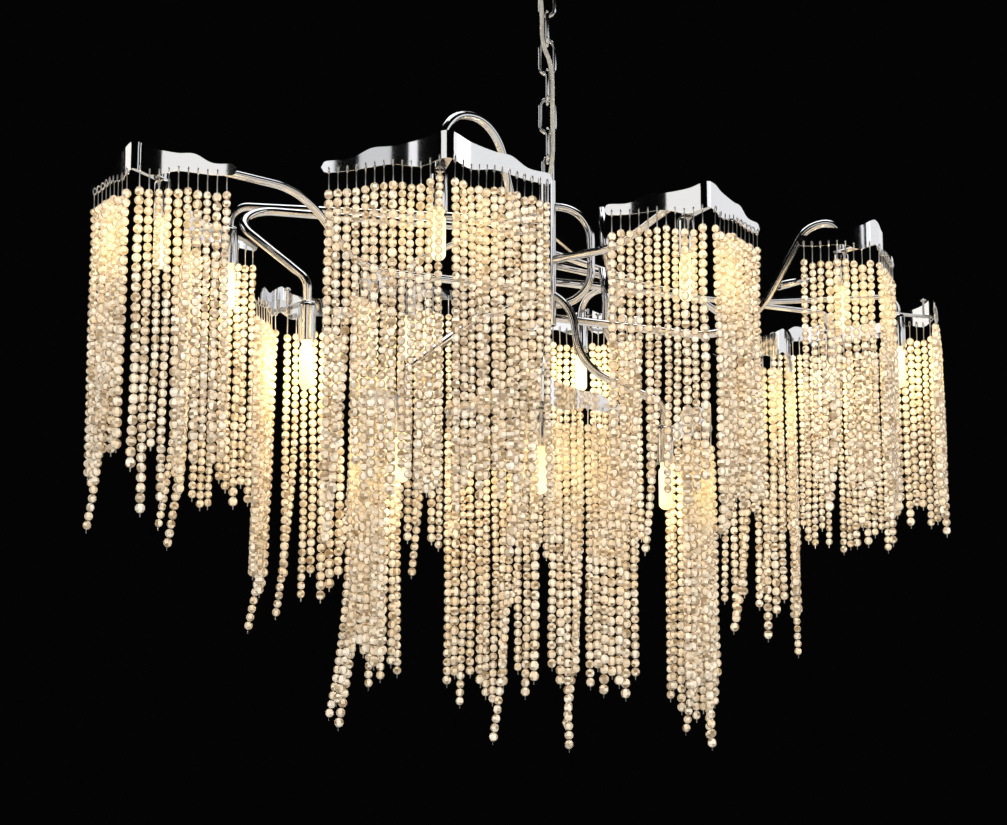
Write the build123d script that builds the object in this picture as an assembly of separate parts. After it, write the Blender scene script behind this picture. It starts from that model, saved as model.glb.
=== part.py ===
from build123d import *
import os
from math import atan2, cos, degrees, pi, radians, sin, tan

# Crystal chandelier on one link chain: bent chrome branch tubes carry fourteen open, V-shaped shades.
# Each shade is a waved steel ribbon with two curtains of crystal strands round a small push-in lamp.
# Millimetres, +Z up, +X along the long axis of the oval, origin on the ceiling over the chain.

# ---- ceiling fitting ----
bracket_length = 106.0
bracket_width = 25.0
bracket_thick = 2.5
bracket_drop = 14.0          # depth of the hat section, room for the terminal block
bracket_foot = 26.0          # length of each foot that lies on the ceiling
bracket_slope = 7.0          # sideways run of the hat's sloping walls
ceiling_hole_spacing = 82.0
ceiling_hole_radius = 2.75
canopy_radius = 60.0
canopy_depth = 42.0
canopy_wall = 1.2
canopy_corner = 9.0
canopy_sides = 36
nipple_radius = 5.0
nipple_bore = 3.4
thread_sides = 16            # flats that stand for the round of threads, their holes and the collar
hex_nut_across = 15.0
hex_nut_thick = 3.0
nipple_over_nut = 1.0
collar_radius = 11.0
collar_height = 12.0
thread_gap = 0.05            # running gap of a nut or collar on the nipple
face_gap = 0.3               # gap between pieces that seat without pressing
terminal_length = 30.0
terminal_width = 16.0
terminal_height = 8.0
terminal_pitch = 9.0
terminal_mouth = 4.0

# ---- chain ----
wire_radius = 2.5
wire_sides = 8
link_length = 48.0
link_width = 23.0
bend_steps = 6               # flats in each round end of a link
chain_links = 5              # links below the one that hangs in the ceiling loop
loop_half_width = 8.5        # ceiling loop, from its middle to the middle of its rod
loop_height = 28.5           # from the collar's foot to the middle of the loop's bar
hang_gap = 0.3               # gap between two links that hang in each other
view_turn = -43.0            # the links stand on axes turned this far from X and Y

# ---- stem ----
stem_radius = 10.0
stem_bore = 8.6
stem_sides = 16
stem_length = 182.0
stem_loop_half_width = 5.6
stem_loop_rise = 28.6        # from the stem's rim to the middle of the loop's top bar
stem_loop_depth = 16.0       # how far its legs run down inside the stem

# ---- branch tubes ----
tube_radius = 5.0
tube_wall = 1.2
tube_sides = 8
branch_steps = 3             # flats in each bend of a branch
twig_bore_depth = 16.0
twig_bend = 40.0
neck_share = 0.8             # bend of the swan neck as a share of its height over the holder
branch_bend = 45.0

# ---- shades ----
ribbon_thick = 1.5
ribbon_peak = 37.8           # heights of the ribbon's edges over its base line
ribbon_apex_low = 7.2
ribbon_dip = -1.2
ribbon_waist = 23.8
ribbon_hump_low = 3.6
ribbon_end_height = 13.2
wing_master = 109.0          # the wing length that the edge's waves were set out on
apex_bend = 26.0
apex_turns = 3               # folds on each side of the apex that stand for its round bend
lamp_from_apex = 60.0
holder_radius = 10.0
holder_sides = 10
holder_wall = 1.4
holder_length = 45.0
holder_over_base = 8.0
holder_dome = 5.0
socket_radius = 8.2
socket_sides = 6
socket_height = 14.0
socket_in_holder = 5.0       # from the holder's rim up to the socket's face
bulb_radius = 8.0
bulb_length = 48.0
bulb_foot_radius = 6.0
bulb_foot_height = 12.0
bulb_sides = 8
strap_width = 12.0
strap_thick = 1.5
strap_tab_height = 12.0
knob_from_apex = 20.0
knob_post_radius = 1.5
knob_post_height = 20.0
knob_radius = 4.0
knob_height = 3.0
knob_sides = 8

# ---- crystal strands ----
strand_width = 8.0
strand_pitch = 10.4
strand_link = 17.0           # hook wire between the ribbon's edge and the first bead
strand_point = 9.0           # pin below the last bead
strand_gap = 0.35            # the strand's top hangs this far under the ribbon's edge
apex_half_gap = 8.4          # from the apex to the first strand of each wing, along the ribbon
wing_end_gap = 5.0
long_strand = 62.0           # extra length of the few strands that hang lowest
length_wave = 16.0           # how much the other strands differ from their shade's length

# ---- cord ----
cord_radius = 2.75

# ---- where things hang, from the ceiling down ----
nut_top = -bracket_drop + hex_nut_thick
canopy_base = -canopy_depth
collar_base = canopy_base - collar_height
loop_bar = collar_base - loop_height
link_hang = 2 * wire_radius + hang_gap
link_middle = link_length - 2 * wire_radius
chain_step = link_middle - link_hang
top_link_top = loop_bar + link_hang
chain_top = top_link_top - chain_step
chain_bottom = chain_top - (chain_links - 1) * chain_step - link_middle
stem_bar = chain_bottom + link_hang
stem_top = stem_bar - stem_loop_rise
stem_foot = stem_top - stem_length

# ---- the shades: apex x and y, base line below the stem's rim, direction the V opens in (degrees
# from +X), half angle of the V, length of its left and right wing, length of its usual strand ----
shades = {
    "a": (-563, 64, 90, 21, 60, 104, 112, 318),
    "b": (-359, 251, 90, 295, 58, 98, 98, 310),
    "c": (-310, 132, 199, 267, 50, 84, 95, 322),
    "d": (-330, -188, 86, 58, 64, 142, 140, 350),
    "e": (-283, 30, 309, 312, 56, 95, 95, 300),
    "f": (-103, -97, 308, 49, 60, 128, 128, 325),
    "g": (127, -153, 319, 142, 56, 95, 95, 318),
    "h": (9, -259, 90, 72, 58, 121, 118, 330),
    "i": (358, 291, 92, 217, 58, 100, 100, 318),
    "j": (365, -69, 176, 87, 50, 95, 84, 330),
    "k": (282, -283, 90, 87, 60, 100, 98, 300),
    "l": (653, 91, 96, 217, 60, 98, 98, 290),
    "m": (603, -131, 108, 157, 58, 95, 95, 262),
    "n": (0, 320, 90, 270, 58, 110, 110, 318),
}

# ---- the branches: start on the stem below its rim, height over the lamp's base line, and the
# corners on the way, each with its depth below the rim ----
upper_routes = {
    "a": (138, 35, [(-235, 74, 138), (-318, 78, 58)]),
    "b": (50, 35, [(-180, 120, 50)]),
    "d": (80, 78, [(-150, -95, 84), (-196, -121, -6)]),
    "h": (101, 35, [(22, -92, 98)]),
    "i": (62, 46, [(180, 120, 45), (322, 190, 45)]),
    "k": (171, 48, [(196, -142, 194), (258, -192, 48)]),
    "l": (88, 35, [(300, 60, 84)]),
    "m": (126, 35, [(310, -45, 110)]),
    "n": (38, 35, [(0, 140, 42)]),
}
lower_routes = {
    "c": (66, 35, [(-322, 158, 66), (-356, 150, 90)]),
    "e": (148, 35, [(-120, -8, 190)]),
    "f": (160, 35, [(-30, -24, 240)]),
    "g": (140, 35, [(14, -28, 160), (14, -40, 236)]),
    "j": (104, 35, [(250, -10, 104)]),
}
hoop_high = 33.0
hoop_low = 155.0
hoop_via = [(38, -36, 33), (38, -36, 155)]
twig_routes = [
    [(23, -70, 44), (26, -72, 92), (37, -82, 165)],
    [(61, -33, 106), (64, -36, 146), (63, -35, 198), (80, -50, 202)],
    [(328, -129, 92), (290, -170, 104), (232, -168, 124)],
]

# ---- the cord's route from the canopy down beside and through the links into the stem: across, away
# and height, on the links' own axes ----
cord_route = [(-12.5, -12.5, -38), (-12.2, -12.0, -66), (-6.3, -6.3, -112), (-6.4, -6.3, -160),
              (6.2, -7.0, -186), (6.0, -6.0, -245), (6.6, -6.5, -304), (1.2, -5.0, -336), (0.6, -4.8, -362)]
cord_hole_radius = 7.0       # hole in the canopy, wide enough for the cord when the fixture swings
cord_bend_limit = 60.0
cord_sides = 8


def turned_point(across, away, height):
    """Point given on the links' own axes."""
    turn = radians(view_turn)
    return (across * cos(turn) - away * sin(turn), across * sin(turn) + away * cos(turn), height)


def upright(radius, sides, foot, height):
    """Upright prism on the Z axis."""
    return Pos(0, 0, foot) * extrude(RegularPolygon(radius, sides), height)


def link_ring(length, middle_z, turn):
    """Upright oval link of faceted wire, its plane turned about Z."""
    bend = (link_width - 2 * wire_radius) / 2
    half = (length - 2 * wire_radius) / 2 - bend
    corners = []
    for side in (1, -1):
        for step in range(bend_steps + 1):
            angle = pi * step / bend_steps
            corners.append((side * bend * cos(angle), side * (half + bend * sin(angle))))
    path = Plane.XZ * Polyline(*corners, close=True)
    start = Plane(origin=path @ 0, z_dir=path % 0)
    link = sweep(start * RegularPolygon(wire_radius, wire_sides), path=path, transition=Transition.RIGHT)
    return Pos(0, 0, middle_z) * Rot(0, 0, turn) * link


def flat_bends(corners, radii, steps):
    """Route with each corner replaced by short flats that lie on its bend."""
    route = [Vector(*corners[0])]
    for before, corner, after, radius in zip(corners, corners[1:], corners[2:], radii):
        centre = Vector(*corner)
        back = (Vector(*before) - centre).normalized()
        ahead = (Vector(*after) - centre).normalized()
        half_turn = radians(180 - back.get_angle(ahead)) / 2
        middle = (back + ahead).normalized()
        axis = back.cross(ahead).normalized()
        pivot = centre + middle * (radius / cos(half_turn))
        for step in range(steps + 1):
            swing = half_turn * (1 - 2 * step / steps)
            route.append(pivot - middle.rotate(Axis((0, 0, 0), axis), degrees(swing)) * radius)
    route.append(Vector(*corners[-1]))
    return route


def bend_radii(corners, limits):
    """Largest bend that fits each corner, up to its limit."""
    radii = []
    for before, corner, after, limit in zip(corners, corners[1:], corners[2:], limits):
        back = Vector(*before) - Vector(*corner)
        ahead = Vector(*after) - Vector(*corner)
        half_turn = radians(180 - back.get_angle(ahead)) / 2
        fits = 0.45 * min(back.length, ahead.length) / tan(half_turn)
        radii.append(min(limit, fits))
    return radii


def rod(route, radius, sides):
    """Solid faceted rod along straight flats with mitred corners."""
    path = Polyline(*route)
    start = Plane(origin=path @ 0, z_dir=path % 0)
    return sweep(start * RegularPolygon(radius, sides), path=path, transition=Transition.RIGHT)


def save(name, solids):
    """One file for each named piece or group of like pieces."""
    shape = solids[0] if len(solids) == 1 else Compound(children=solids)
    export_step(shape, "parts/" + name + ".step")


# ---- ceiling fitting ----
def make_bracket():
    half = bracket_length / 2
    step = half - bracket_foot
    low = step - bracket_slope
    top = [(-half, 0), (-step, 0), (-low, -bracket_drop), (low, -bracket_drop), (step, 0), (half, 0)]
    under = [(x, z - bracket_thick) for x, z in reversed(top)]
    section = make_face(Polyline(*top, *under, close=True))
    strip = extrude(Plane.XZ * section, bracket_width / 2, both=True)
    for side in (-1, 1):
        strip -= Pos(side * ceiling_hole_spacing / 2, 0, 0) * Cylinder(ceiling_hole_radius, 4 * bracket_thick)
    return strip - upright(nipple_radius + thread_gap, thread_sides, -2 * bracket_drop, 2 * bracket_drop)


def cup(radius, foot, top, corner):
    """Round body with a slanted lower edge."""
    body = upright(radius, canopy_sides, foot, top - foot)
    return chamfer(body.faces().sort_by(Axis.Z)[0].edges(), corner)


def make_canopy():
    outer = cup(canopy_radius, canopy_base, -face_gap, canopy_corner)
    inner = cup(canopy_radius - canopy_wall, canopy_base + canopy_wall, canopy_depth, canopy_corner - canopy_wall / 2)
    thread = upright(nipple_radius + thread_gap, thread_sides, canopy_base - canopy_wall, 4 * canopy_wall)
    across, away, _ = cord_route[0]
    cord_way = Pos(*turned_point(across, away, canopy_base)) * Cylinder(cord_hole_radius, 4 * canopy_wall)
    return outer - inner - thread - cord_way


def make_bracket_fasteners():
    """Threaded nipple with a nut above and a nut below the bracket."""
    top = nut_top + nipple_over_nut
    foot = collar_base + collar_height / 2
    nipple = upright(nipple_radius, thread_sides, foot, top - foot)
    pieces = [nipple - upright(nipple_bore, thread_sides, foot, top - foot)]
    for z in (-bracket_drop, -bracket_drop - bracket_thick - hex_nut_thick):
        nut = extrude(RegularPolygon(hex_nut_across / 2, 6, major_radius=False), hex_nut_thick)
        pieces.append(Pos(0, 0, z) * nut - upright(nipple_radius + thread_gap, thread_sides, z, hex_nut_thick))
    return pieces


def u_rod(half_width, bar_z, leg_z):
    """U of faceted rod in the XZ plane, from its bar to the ends of its legs."""
    rise = half_width if bar_z > leg_z else -half_width
    route = [(half_width, 0, leg_z)]
    for step in range(bend_steps + 1):
        angle = pi * step / bend_steps
        route.append((half_width * cos(angle), 0, bar_z - rise + rise * sin(angle)))
    route.append((-half_width, 0, leg_z))
    return rod(route, wire_radius, wire_sides)


def make_ceiling_loop():
    """Threaded collar with a U of rod under it, which stands across the chain's first link."""
    collar = upright(collar_radius, thread_sides, collar_base, collar_height)
    loop = Rot(0, 0, view_turn + 90) * u_rod(loop_half_width, loop_bar, collar_base + collar_height / 2)
    seat = collar_base + collar_height / 2
    thread = upright(nipple_radius + thread_gap, thread_sides, seat, collar_height)
    wire_way = upright(nipple_bore, thread_sides, collar_base - collar_height, 2 * collar_height)
    return collar + loop - thread - wire_way


def make_terminal_block():
    foot = nut_top + nipple_over_nut + face_gap
    block = Pos(0, 0, foot + terminal_height / 2) * Box(terminal_length, terminal_width, terminal_height)
    for side in (-1, 0, 1):
        mouth = Box(terminal_mouth, terminal_mouth, terminal_mouth)
        block -= Pos(side * terminal_pitch, -terminal_width / 2, foot + terminal_height / 2) * mouth
    return block


# ---- chain ----
def make_chain():
    links = []
    for number in range(chain_links):
        middle = chain_top - number * chain_step - link_middle / 2
        turn = view_turn + (90 if number % 2 == 0 else 0)
        links.append(link_ring(link_length, middle, turn))
    return links


# ---- stem ----
def make_stem_tube():
    tube = upright(stem_radius, stem_sides, stem_foot, stem_length)
    return tube - upright(stem_bore, stem_sides, stem_foot, stem_length)


def make_stem_loop():
    """Inverted U that the last link hangs on; its legs are held inside the stem."""
    return Rot(0, 0, view_turn) * u_rod(stem_loop_half_width, stem_bar, stem_top - stem_loop_depth)


# ---- shades: each is made with its apex at the origin, opening along +X, base line at z = 0 ----
def placed(shade):
    x, y, below_rim, opens = shades[shade][:4]
    return Pos(x, y, stem_top - below_rim) * Rot(0, 0, opens)


def lamp_point(shade, height):
    x, y, below_rim, opens = shades[shade][:4]
    turn = radians(opens)
    return (x + lamp_from_apex * cos(turn), y + lamp_from_apex * sin(turn), stem_top - below_rim + height)


def wing_heading(shade, side):
    """Direction of a wing's straight run in its own shade."""
    turn = radians(shades[shade][4])
    return Vector(cos(turn), side * sin(turn), 0)


def wing_path(shade, side):
    """Plan of one wing from the middle of the apex bend to its end, side +1 left and -1 right."""
    half = shades[shade][4]
    length = shades[shade][5] if side == 1 else shades[shade][6]
    fold = radians(90 - half) / apex_turns
    flat = apex_bend * tan(fold / 2)
    apex = Vector(apex_bend / sin(radians(half)) - apex_bend, 0, 0)
    corner = apex + Vector(0, side * flat, 0)
    corners = [apex, corner]
    for number in range(1, apex_turns):
        corner += Vector(sin(number * fold), side * cos(number * fold), 0) * (2 * flat)
        corners.append(corner)
    straight = length - apex_bend * radians(90 - half) + flat
    corners.append(corner + wing_heading(shade, side) * straight)
    return Polyline(*corners)


def edge_heights(reach):
    """Places along a wing and the ribbon's lower and upper edge there."""
    scale = reach / wing_master
    low = [(0, ribbon_apex_low), (23 * scale, ribbon_dip), (50 * scale, ribbon_hump_low), (84 * scale, 0)]
    high = [(0, ribbon_peak), (9 * scale, ribbon_peak)]
    high += [(40 * scale, ribbon_waist), (68 * scale, ribbon_waist)]
    high.append((86 * scale, ribbon_end_height))
    return low, high


def low_edge(reach, at):
    """Lower edge of the ribbon at a place along the wing."""
    low, high = edge_heights(reach)
    for (s0, z0), (s1, z1) in zip(low, low[1:]):
        if at <= s1:
            return z0 + (z1 - z0) * (at - s0) / (s1 - s0)
    return low[-1][1]


def make_ribbon(shade):
    halves = []
    for side in (1, -1):
        path = wing_path(shade, side)
        reach = path.length
        low, high = edge_heights(reach)
        start = Plane(origin=path @ 0, x_dir=(0, 0, 1), z_dir=path % 0)
        strip = Rectangle(4 * ribbon_peak, ribbon_thick)
        band = sweep(start * strip, path=path, transition=Transition.RIGHT)
        tip = [(reach + apex_bend, ribbon_end_height), (reach + apex_bend, 0)]
        outline = Polyline(*high, *tip, *reversed(low), close=True)
        face = make_face(outline)
        heading = wing_heading(shade, side)
        view = Plane(origin=(0, 0, 0), x_dir=heading, z_dir=heading.cross(Vector(0, 0, 1)))
        cutter = extrude(view * face, 2 * apex_bend, both=True)
        halves.append(band & cutter)
    return halves[0] + halves[1]


def make_strap(shade):
    """Flat bar from the lampholder to the ribbon's apex, turned up where it meets the ribbon."""
    centre = apex_bend / sin(radians(shades[shade][4]))
    inner = apex_bend - ribbon_thick / 2 - thread_gap
    seat = centre - (inner ** 2 - (strap_width / 2) ** 2) ** 0.5
    reach = lamp_from_apex + strap_width / 2 - seat
    bar = Pos(seat + reach / 2, 0, holder_over_base + strap_thick / 2) * Box(reach, strap_width, strap_thick)
    tab = Pos(seat + strap_thick / 2, 0, holder_over_base + strap_tab_height / 2)
    bar += tab * Box(strap_thick, strap_width, strap_tab_height)
    hole = RegularPolygon(tube_radius + thread_gap, tube_sides, major_radius=False)
    return bar - Pos(lamp_from_apex, 0, holder_over_base) * extrude(hole, 4 * strap_thick, both=True)


def make_knob(shade):
    top = holder_over_base + strap_thick + knob_post_height
    post = Box(2 * knob_post_radius, 2 * knob_post_radius, knob_post_height)
    post = Pos(knob_from_apex, 0, top - knob_post_height / 2) * post
    head = Pos(knob_from_apex, 0, top) * extrude(RegularPolygon(knob_radius, knob_sides), knob_height)
    return post + head


def make_holder(shade):
    foot = holder_over_base - holder_length
    cup_body = upright(holder_radius, holder_sides, foot, holder_length)
    inside = upright(holder_radius - holder_wall, holder_sides, foot, holder_length - holder_dome)
    return Pos(lamp_from_apex, 0, 0) * (cup_body - inside)


def make_socket(shade):
    face_z = holder_over_base - holder_length + socket_in_holder
    return Pos(lamp_from_apex, 0, 0) * upright(socket_radius, socket_sides, face_z, socket_height)


def make_bulb(shade):
    top = holder_over_base - holder_length + socket_in_holder
    glass_top = top - bulb_foot_height
    foot = upright(bulb_foot_radius, bulb_sides, glass_top, bulb_foot_height)
    glass = upright(bulb_radius, bulb_sides, glass_top - bulb_length, bulb_length)
    glass = chamfer(glass.faces().sort_by(Axis.Z)[0].edges(), bulb_radius / 3)
    return Pos(lamp_from_apex, 0, 0) * (foot + glass)


def strand_length(shade, side, number):
    """Most strands of a shade are nearly alike, and a few hang much lower."""
    length = shades[shade][7] + length_wave * sin(2.3 * number + side + shades[shade][3])
    tail = (5 * number + 3 * side + shades[shade][3]) % 11
    if tail < 2:
        length += long_strand * (0.55 + 0.45 * tail)
    return length


def make_strand(length):
    """Hook wire, the run of beads as one square bar, and the pin at its foot; top point at the origin."""
    half = strand_width / 2
    corners = [(half, half), (-half, half), (-half, -half), (half, -half)]
    shoulder = [Vector(x, y, -strand_link) for x, y in corners]
    heel = [Vector(x, y, strand_point - length) for x, y in corners]
    hook, tip = Vector(0, 0, 0), Vector(0, 0, -length)
    faces = []
    for here, there in ((0, 1), (1, 2), (2, 3), (3, 0)):
        faces.append(Wire.make_polygon([hook, shoulder[here], shoulder[there]]))
        faces.append(Wire.make_polygon([shoulder[here], heel[here], heel[there], shoulder[there]]))
        faces.append(Wire.make_polygon([heel[here], tip, heel[there]]))
    return Solid(Shell([Face(wire) for wire in faces]))


def make_wing(shade, side):
    path = wing_path(shade, side)
    reach = path.length
    strands = []
    count = int((reach - wing_end_gap - apex_half_gap) / strand_pitch) + 1
    for number in range(count):
        along = apex_half_gap + number * strand_pitch
        spot = path.position_at(along, position_mode=PositionMode.LENGTH)
        tangent = path.tangent_at(along, position_mode=PositionMode.LENGTH)
        turn = degrees(atan2(tangent.Y, tangent.X))
        top = low_edge(reach, spot.dot(wing_heading(shade, side))) - strand_gap
        strand = make_strand(strand_length(shade, side, number))
        strands.append(Pos(spot.X, spot.Y, top) * Rot(0, 0, turn) * strand)
    return strands


# ---- branches ----
def branch_corners(shade, start, over_base, via):
    corners = [(0, 0, stem_top - start)]
    corners += [(x, y, stem_top - below) for x, y, below in via]
    corners.append(lamp_point(shade, over_base))
    corners.append(lamp_point(shade, holder_over_base))
    return corners


def make_branch(shade, start, over_base, via):
    """Bent tube from the stem's wall to a lampholder, with a swan neck over the lamp."""
    corners = branch_corners(shade, start, over_base, via)
    limits = [branch_bend] * len(via) + [neck_share * (over_base - holder_over_base)]
    tube = rod(flat_bends(corners, bend_radii(corners, limits), branch_steps), tube_radius, tube_sides)
    return tube - upright(stem_radius, stem_sides, stem_foot, stem_length)


def make_hoop():
    """Bow of tube that leaves the stem near its top and comes back to it near its foot."""
    corners = [(0, 0, stem_top - hoop_high)]
    corners += [(x, y, stem_top - below) for x, y, below in hoop_via]
    corners.append((0, 0, stem_top - hoop_low))
    radii = bend_radii(corners, [branch_bend] * len(hoop_via))
    tube = rod(flat_bends(corners, radii, branch_steps), tube_radius, tube_sides)
    return tube - upright(stem_radius, stem_sides, stem_foot, stem_length)


def make_twig(route):
    """Short decorative tube with an open end."""
    corners = [(x, y, stem_top - below) for x, y, below in route]
    limits = [twig_bend] * (len(corners) - 2)
    flats = flat_bends(corners, bend_radii(corners, limits), branch_steps)
    twig = rod(flats, tube_radius, tube_sides)
    mouth = Plane(origin=flats[0], z_dir=flats[1] - flats[0])
    return twig - mouth * extrude(RegularPolygon(tube_radius - tube_wall, tube_sides), twig_bore_depth)


# ---- cord ----
def cord_corners():
    return [turned_point(across, away, z) for across, away, z in cord_route]


def make_cord():
    corners = cord_corners()
    radii = bend_radii(corners, [cord_bend_limit] * (len(corners) - 2))
    path = FilletPolyline(*corners, radius=radii)
    start = Plane(origin=path @ 0, z_dir=path % 0)
    tube = sweep(start * RegularPolygon(cord_radius, cord_sides), path=path)
    print("cord radii", [round(r, 1) for r in radii], "length", round(path.length, 1))
    section = RegularPolygon(cord_radius, cord_sides).area
    print("cord volume", round(tube.volume, 1), "section x length", round(section * path.length, 1))
    return tube


if __name__ == "__main__":
    os.makedirs("parts", exist_ok=True)
    save("ceiling_bracket", [make_bracket()])
    save("bracket_fasteners", make_bracket_fasteners())
    save("ceiling_canopy", [make_canopy()])
    save("ceiling_loop", [make_ceiling_loop()])
    save("terminal_block", [make_terminal_block()])
    save("top_link", [link_ring(link_length, top_link_top - link_middle / 2, view_turn)])
    save("suspension_chain", make_chain())
    save("stem_tube", [make_stem_tube()])
    save("stem_loop", [make_stem_loop()])
    upper = {shade: make_branch(shade, *branch) for shade, branch in upper_routes.items()}
    lower = {shade: make_branch(shade, *branch) for shade, branch in lower_routes.items()}
    save("upper_branches", list(upper.values()))
    save("lower_branches", list(lower.values()))
    twigs = [make_hoop()] + [make_twig(route) for route in twig_routes]
    for branch in [*upper.values(), *lower.values()]:
        twigs = [twig - branch for twig in twigs]
    save("twig_tubes", twigs)
    save("power_cord", [make_cord()])
    for name, make in (("lampholders", make_holder), ("lamp_sockets", make_socket), ("shade_straps", make_strap),
                       ("knob_screws", make_knob), ("bulbs", make_bulb)):
        save(name, [placed(shade) * make(shade) for shade in shades])
    for shade in shades:
        save("ribbon_" + shade, [placed(shade) * make_ribbon(shade)])
        for side, side_name in ((1, "left"), (-1, "right")):
            save("strands_" + shade + "_" + side_name, [placed(shade) * s for s in make_wing(shade, side)])
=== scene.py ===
from math import cos, pi, radians, sin, sqrt, tan
from random import Random

import bmesh
import bpy
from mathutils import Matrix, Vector


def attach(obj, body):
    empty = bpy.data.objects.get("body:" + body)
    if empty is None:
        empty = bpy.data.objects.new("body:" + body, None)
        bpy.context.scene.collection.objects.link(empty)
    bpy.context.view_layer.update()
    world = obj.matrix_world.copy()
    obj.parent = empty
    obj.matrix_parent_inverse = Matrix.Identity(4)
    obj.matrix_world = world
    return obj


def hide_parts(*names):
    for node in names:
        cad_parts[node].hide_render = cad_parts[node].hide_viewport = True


# Crystal chandelier on a link chain, seen from below the level of its shades.
# Lengths are millimetres until a mesh is made. Camera, lights and floor are placed in metres.

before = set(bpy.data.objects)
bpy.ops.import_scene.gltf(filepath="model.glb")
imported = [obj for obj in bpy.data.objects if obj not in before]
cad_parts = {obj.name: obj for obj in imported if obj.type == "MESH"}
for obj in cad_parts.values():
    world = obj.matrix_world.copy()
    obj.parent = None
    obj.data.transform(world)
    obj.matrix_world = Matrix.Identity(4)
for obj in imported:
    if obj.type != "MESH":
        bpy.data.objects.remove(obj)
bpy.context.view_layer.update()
mm = 0.001
weld = 1e-6              # metres within which points are one
fullTurn = 6.28          # radians, for what turns by chance

cameraSettings = {
    "place": (-1.9325, -1.9931, -1.140),
    "turn": -43.0,       # degrees from looking along +Y
    "pitch": 10.6,       # looks a little upwards, at shades that hang over eye level
    "lens": 83.97,
}

cameraData = bpy.data.cameras.new("camera")
cameraData.lens = cameraSettings["lens"]
cameraData.sensor_width = 36
camera = bpy.data.objects.new("camera", cameraData)
camera.location = cameraSettings["place"]
camera.rotation_euler = (radians(90 + cameraSettings["pitch"]), 0, radians(cameraSettings["turn"]))
bpy.context.scene.collection.objects.link(camera)
bpy.context.scene.camera = camera


def hexColor(code):
    # sRGB to linear
    values = [int(code[i:i + 2], 16) / 255 for i in (1, 3, 5)]
    return [v / 12.92 if v <= 0.04045 else ((v + 0.055) / 1.055) ** 2.4 for v in values] + [1.0]


def addNode(tree, kind, inputs=None, **settings):
    node = tree.nodes.new(kind)
    for name, value in settings.items():
        setattr(node, name, value)
    for name, value in (inputs or {}).items():
        if isinstance(value, bpy.types.NodeSocket):
            tree.links.new(value, node.inputs[name])
        else:
            node.inputs[name].default_value = value
    return node


def newMaterial(name, **values):
    material = bpy.data.materials.new(name)
    material.use_nodes = True
    tree = material.node_tree
    tree.nodes.clear()
    shader = addNode(tree, "ShaderNodeBsdfPrincipled", {k.replace("_", " "): v for k, v in values.items()})
    addNode(tree, "ShaderNodeOutputMaterial", {"Surface": shader.outputs["BSDF"]})
    return material, tree, shader


def newObject(name, points, edges, faces):
    mesh = bpy.data.meshes.new(name)
    mesh.from_pydata([tuple(p) for p in points], edges, faces)
    piece = bpy.data.objects.new(name, mesh)
    bpy.context.scene.collection.objects.link(piece)
    return piece


def newTree(name, inputs):
    tree = bpy.data.node_groups.new(name, "GeometryNodeTree")
    face = tree.interface
    face.new_socket("Geometry", in_out="INPUT", socket_type="NodeSocketGeometry")
    for label, kind, value in inputs:
        socket = face.new_socket(label, in_out="INPUT", socket_type=kind)
        if value is not None:
            socket.default_value = value
    face.new_socket("Geometry", in_out="OUTPUT", socket_type="NodeSocketGeometry")
    return tree


def runTree(piece, tree, values):
    # the tree's result becomes the piece's own plain mesh
    modifier = piece.modifiers.new(tree.name, "NODES")
    modifier.node_group = tree
    for item in tree.interface.items_tree:
        if item.in_out == "INPUT" and item.name in values:
            modifier[item.identifier] = values[item.name]
    graph = bpy.context.evaluated_depsgraph_get()
    result = piece.evaluated_get(graph)
    mesh = bpy.data.meshes.new_from_object(result, preserve_all_data_layers=True, depsgraph=graph)
    piece.modifiers.clear()
    piece.data = mesh
    return piece


def smooth(piece, angle=35):
    piece.data.shade_smooth()
    piece.data.set_sharp_from_angle(angle=radians(angle))
    return piece


def outward(piece):
    # merged first, then all faces turned to point out
    work = bmesh.new()
    work.from_mesh(piece.data)
    bmesh.ops.remove_doubles(work, verts=work.verts, dist=weld)
    bmesh.ops.recalc_face_normals(work, faces=work.faces)
    work.to_mesh(piece.data)
    work.free()
    return piece


def place(piece, body, slot, *nodes):
    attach(piece, body)
    if nodes:
        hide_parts(*nodes)
    return piece


print("materials")


# a colour Mix takes its factor at 0 and its colours at 6 and 7, and gives the result at 2
def mottle(tree, shader, width, detail=2.0, colors=None, roughness=None, finer=1.0):
    # soft spots as wide as this in millimetres, and so many times finer in height
    perMetre = 1 / (width * mm)
    where = addNode(tree, "ShaderNodeTexCoord")
    sized = addNode(tree, "ShaderNodeMapping",
                    {"Vector": where.outputs["Object"], "Scale": (perMetre, perMetre, perMetre * finer)})
    spots = addNode(tree, "ShaderNodeTexNoise",
                    {"Vector": sized.outputs["Vector"], "Scale": 1.0, "Detail": detail})
    if colors:
        tint = addNode(tree, "ShaderNodeMix",
                       {0: spots.outputs["Fac"], 6: hexColor(colors[0]), 7: hexColor(colors[1])},
                       data_type="RGBA")
        tree.links.new(tint.outputs[2], shader.inputs["Base Color"])
    if roughness:
        rough = addNode(tree, "ShaderNodeMapRange",
                        {"Value": spots.outputs["Fac"], "To Min": roughness[0], "To Max": roughness[1]})
        tree.links.new(rough.outputs["Result"], shader.inputs["Roughness"])


# chromium plate over polished nickel on steel tube: cool mirror with a faint haze where it was handled
chromePlate, tree, shader = newMaterial("chromePlate", Base_Color=hexColor("#D2D3D6"), Metallic=1.0)
mottle(tree, shader, 16.667, 3.0, roughness=(0.05, 0.14))

# stainless strip polished on a wheel: near mirror, a little softer where the wheel's lines run along it;
# real lines are too fine to show, so these are about 0.6 mm apart
polishedSteel, tree, shader = newMaterial("polishedSteel", Metallic=1.0)
mottle(tree, shader, 5.5556, 4.0, ("#D4D5D8", "#E6E6E8"), (0.02, 0.09), finer=9.0)

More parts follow.
